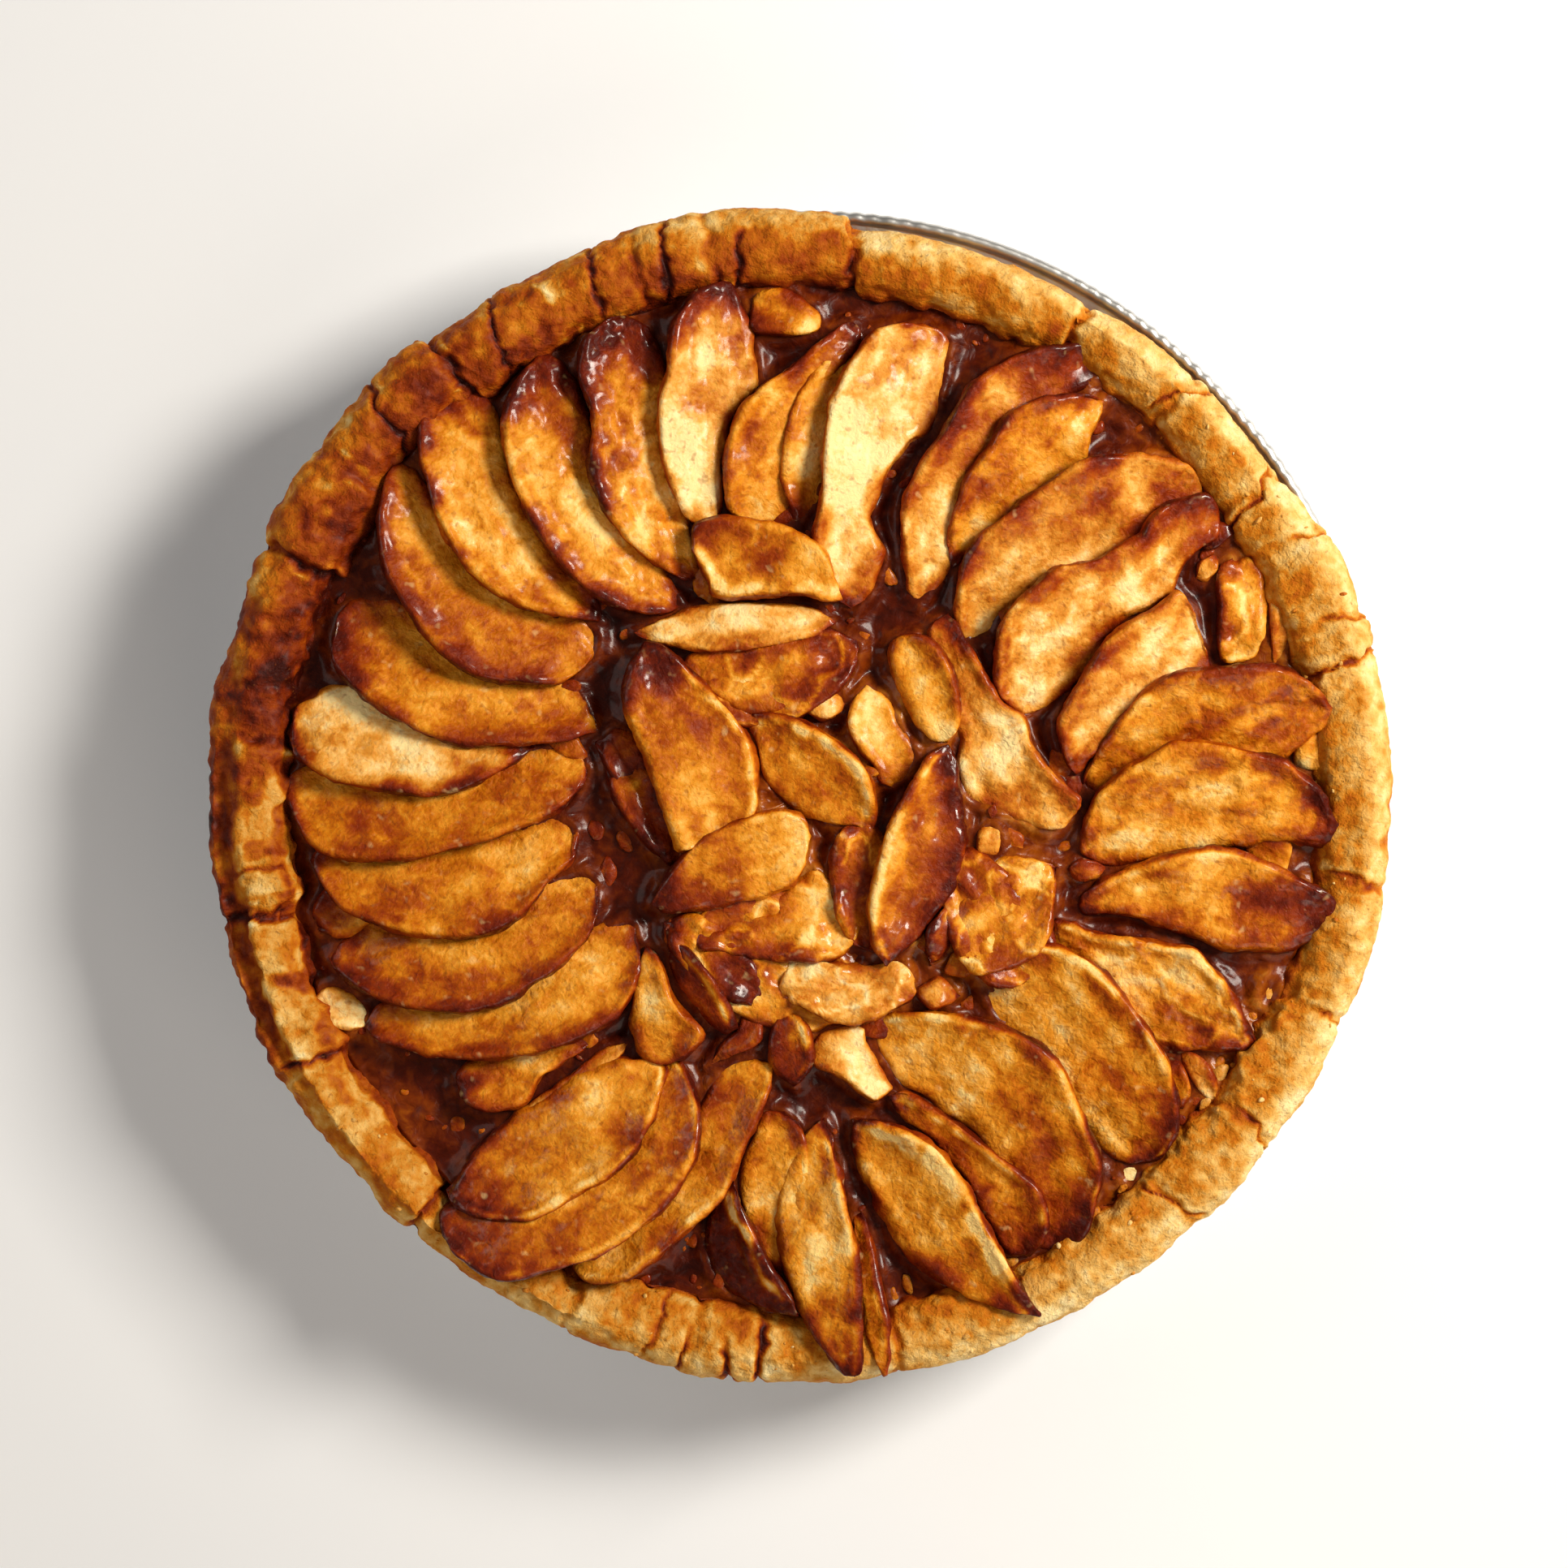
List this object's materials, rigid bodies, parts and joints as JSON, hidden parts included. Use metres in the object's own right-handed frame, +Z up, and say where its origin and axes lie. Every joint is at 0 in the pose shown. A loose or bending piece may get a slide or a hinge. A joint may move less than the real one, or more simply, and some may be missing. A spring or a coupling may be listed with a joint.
{
  "type": "fruit pie",
  "caption": "Round open fruit pie in a shallow foil tin, with a rolled pastry rim and baked fruit slices fanned round and heaped in its middle.",
  "frame": {"origin": "middle of the pie, on the surface that the tin stands on", "axes": "+Z up out of the filling; +Y towards the top of the picture, +X towards its right"},
  "size_m": [0.2301, 0.228, 0.0414],
  "materials": {
    "foil": "bright thin foil, lightly creased",
    "pastry": "baked shortcrust, crumbly, light gold to dark brown",
    "jelly": "dark glossy baked fruit jelly",
    "fruit_pale": "pale gold baked fruit, thin glaze, brown specks",
    "fruit_gold": "gold baked fruit, thin glaze, browned tips",
    "fruit_amber": "amber baked fruit, sticky glaze, browned tips",
    "fruit_dark": "dark red brown baked fruit, sticky glaze"
  },
  "bodies": {
    "root": {"tin": "foil", "crust": "pastry", "filling": "jelly", "scrap_top": "fruit_dark", "scrap_left": "fruit_pale", "tucked_bottom": "fruit_gold", "tucked_left": "fruit_amber", "ring_01": "fruit_amber", "ring_02": "fruit_amber", "ring_03": "fruit_amber", "ring_04": "fruit_amber", "ring_05": "fruit_pale", "ring_06": "fruit_amber", "ring_07": "fruit_gold", "ring_08": "fruit_gold", "ring_09": "fruit_gold", "ring_10": "fruit_gold", "ring_11": "fruit_pale", "ring_12": "fruit_gold", "ring_13": "fruit_gold", "ring_14": "fruit_pale", "ring_15": "fruit_pale", "ring_16": "fruit_amber", "ring_17": "fruit_pale", "ring_18": "fruit_pale", "ring_19": "fruit_pale", "block_right": "fruit_gold", "ring_20": "fruit_gold", "ring_21": "fruit_amber", "ring_22": "fruit_amber", "ring_23": "fruit_gold", "ring_24": "fruit_gold", "ring_25": "fruit_gold", "ring_26": "fruit_amber", "ring_27": "fruit_gold", "ring_28": "fruit_gold", "ring_29": "fruit_gold", "ring_30": "fruit_dark", "ring_31": "fruit_amber", "ring_32": "fruit_amber", "ring_33": "fruit_amber", "heap_01": "fruit_dark", "heap_02": "fruit_amber", "heap_03": "fruit_pale", "heap_04": "fruit_amber", "heap_05": "fruit_gold", "heap_06": "fruit_gold", "heap_07": "fruit_gold", "heap_08": "fruit_amber", "heap_09": "fruit_amber", "heap_10": "fruit_pale", "heap_11": "fruit_amber", "heap_12": "fruit_gold", "heap_13": "fruit_pale", "heap_14": "fruit_dark", "heap_15": "fruit_amber", "heap_16": "fruit_gold", "heap_17": "fruit_dark", "heap_18": "fruit_gold", "heap_19": "fruit_pale"}
  },
  "joints": []
}
